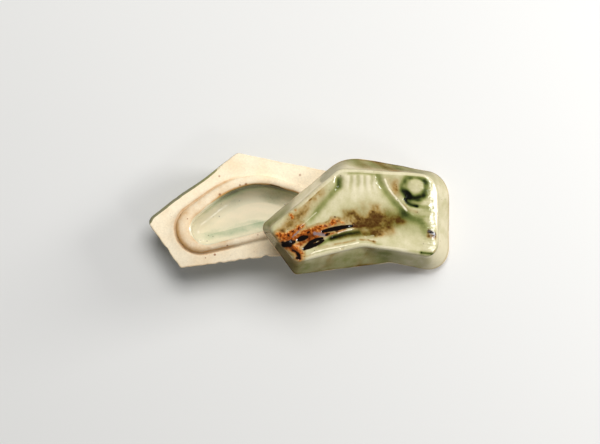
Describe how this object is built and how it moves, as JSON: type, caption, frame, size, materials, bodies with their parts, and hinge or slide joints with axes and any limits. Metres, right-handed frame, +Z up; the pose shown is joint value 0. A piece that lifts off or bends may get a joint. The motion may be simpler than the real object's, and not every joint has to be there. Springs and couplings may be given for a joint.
{
  "type": "incense box",
  "caption": "Faceted stoneware incense box shown open: a body with a raised collar round its well, and a glazed lid carved with a mountain and moon leaning on its rim.",
  "frame": {"origin": "on the underside of the body, under the middle of its outline, where the box rests", "axes": "+Z up, +X along the box from its pointed nose towards its square end, -Y towards the viewer"},
  "size_m": [0.1133, 0.0472, 0.0346],
  "materials": {
    "clay": "bare fired stoneware, fine iron specks",
    "celadon": "glossy pale celadon glaze",
    "ash_glaze": "glossy ash glaze, cream where thin",
    "green_glaze": "glossy green glaze where it pools thick",
    "iron_glaze": "glossy iron-brown to black glaze"
  },
  "bodies": {
    "body": {"body": "clay", "well_glaze": "celadon"},
    "lid": {"lid": "ash_glaze", "flank_glaze": "green_glaze", "moon_glaze": "green_glaze", "iron_glaze": "iron_glaze"}
  },
  "joints": [
    {"name": "lid_lift", "type": "slide", "parent": "body", "child": "lid", "axis": [0, 0, 1], "range_m": [0, 0.06]}
  ]
}
